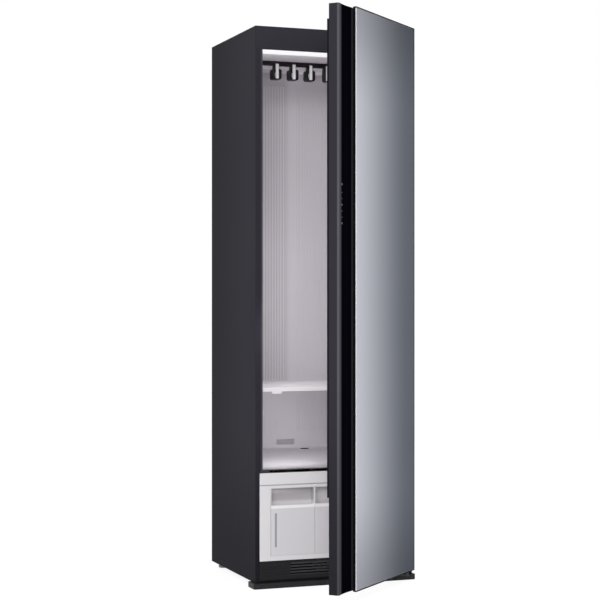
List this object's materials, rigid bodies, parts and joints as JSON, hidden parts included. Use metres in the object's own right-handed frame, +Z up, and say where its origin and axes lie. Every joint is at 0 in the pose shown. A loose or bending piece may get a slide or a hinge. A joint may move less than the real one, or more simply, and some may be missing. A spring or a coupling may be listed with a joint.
{
  "type": "clothes care steam cabinet",
  "caption": "Tall steam cabinet for freshening clothes, with a mirrored door ajar, shaking hanger bar, shelf, pull-out water tanks and lint filter, and a heat pump behind.",
  "frame": {"origin": "middle of the case's width, at its front plane, on the floor under the base plate", "axes": "+X to the right seen from the front, +Y to the back, +Z up; the door opens towards -Y"},
  "size_m": [0.608, 0.9643, 1.9615],
  "materials": {
    "case_steel": "satin",
    "plated_steel": "satin",
    "black_machine": "satin",
    "dark_trim": "satin",
    "black_plastic": "matte",
    "white_plastic": "satin",
    "tub_plastic": "satin",
    "grey_plastic": "satin",
    "clear_plastic": "gloss",
    "light_plastic": "satin",
    "seal_rubber": "matte",
    "insulation": "matte",
    "gloss_black": "gloss",
    "mirror": "polished",
    "coil_metal": "satin"
  },
  "bodies": {
    "case": {"left_side_panel": "case_steel", "right_side_panel": "case_steel", "top_panel": "case_steel", "top_fascia": "case_steel", "back_panel": "plated_steel", "base_pan": "plated_steel", "machine_shelf": "plated_steel", "top_hinge_arm": "plated_steel", "bottom_hinge_arm": "plated_steel", "steam_generator": "plated_steel", "rear_cover": "black_machine", "compressor": "black_machine", "hanger_motor": "black_machine", "fan_motor": "black_machine", "front_frame": "dark_trim", "base_plate": "black_plastic", "kick_grille": "black_plastic", "hanger_rail": "black_plastic", "steam_outlet": "black_plastic", "shelf": "white_plastic", "lower_front_panel": "white_plastic", "upper_front_strip": "white_plastic", "chamber_liner": "tub_plastic", "air_outlet_grille": "grey_plastic", "tank_bay": "grey_plastic", "control_box": "grey_plastic", "fan_housing": "grey_plastic", "supply_pump": "grey_plastic", "drain_pump": "grey_plastic", "steam_pipe": "grey_plastic", "front_left_foot": "grey_plastic", "front_right_foot": "grey_plastic", "rear_left_foot": "grey_plastic", "rear_right_foot": "grey_plastic", "light_diffuser": "light_plastic", "power_gland": "seal_rubber", "foam_jacket": "insulation", "evaporator": "coil_metal", "condenser": "coil_metal"},
    "door": {"door_shell": "case_steel", "door_inner_panel": "tub_plastic", "door_seal": "seal_rubber", "handle_strip": "gloss_black", "mirror_frame": "black_plastic", "mirror_glass": "mirror"},
    "hanger": {"hanger_bar": "black_plastic", "hanger_hook_1": "black_plastic", "hanger_hook_2": "black_plastic", "hanger_hook_3": "black_plastic", "hanger_hook_4": "black_plastic", "hanger_hook_5": "black_plastic"},
    "lever": {"drive_lever": "plated_steel"},
    "supply": {"supply_tank": "white_plastic", "supply_tank_lid": "grey_plastic", "supply_level_window": "clear_plastic"},
    "drain": {"drain_tank": "white_plastic", "drain_tank_lid": "grey_plastic", "drain_level_window": "clear_plastic"},
    "filter": {"lint_filter": "white_plastic"},
    "fan": {"fan_wheel": "black_plastic"}
  },
  "joints": [
    {"name": "door_hinge", "type": "hinge", "parent": "case", "child": "door", "pos_m": [0.255, -0.0441, 1], "axis": [0, 0, 1], "range_deg": [-42.64, 72.36]},
    {"name": "hanger_slide", "type": "slide", "parent": "case", "child": "hanger", "axis": [1, 0, 0], "range_m": [-0.015, 0.015]},
    {"name": "lever_turn", "type": "hinge", "parent": "case", "child": "lever", "pos_m": [0, 0.298, 1.87], "axis": [0, 0, 1], "range_deg": [-22, 22]},
    {"name": "supply_tank_slide", "type": "slide", "parent": "case", "child": "supply", "axis": [0, -1, 0], "range_m": [0, 0.11]},
    {"name": "drain_tank_slide", "type": "slide", "parent": "case", "child": "drain", "axis": [0, -1, 0], "range_m": [0, 0.11]},
    {"name": "filter_slide", "type": "slide", "parent": "case", "child": "filter", "axis": [0, -1, 0], "range_m": [0, 0.12]},
    {"name": "fan_spin", "type": "hinge", "parent": "case", "child": "fan", "pos_m": [-0.02, 0.43, 0.26], "axis": [1, 0, 0], "continuous": true}
  ],
  "couplings": [
    {"joint": "lever_turn", "follows": "hanger_slide", "rad_per_m": 25.3}
  ]
}
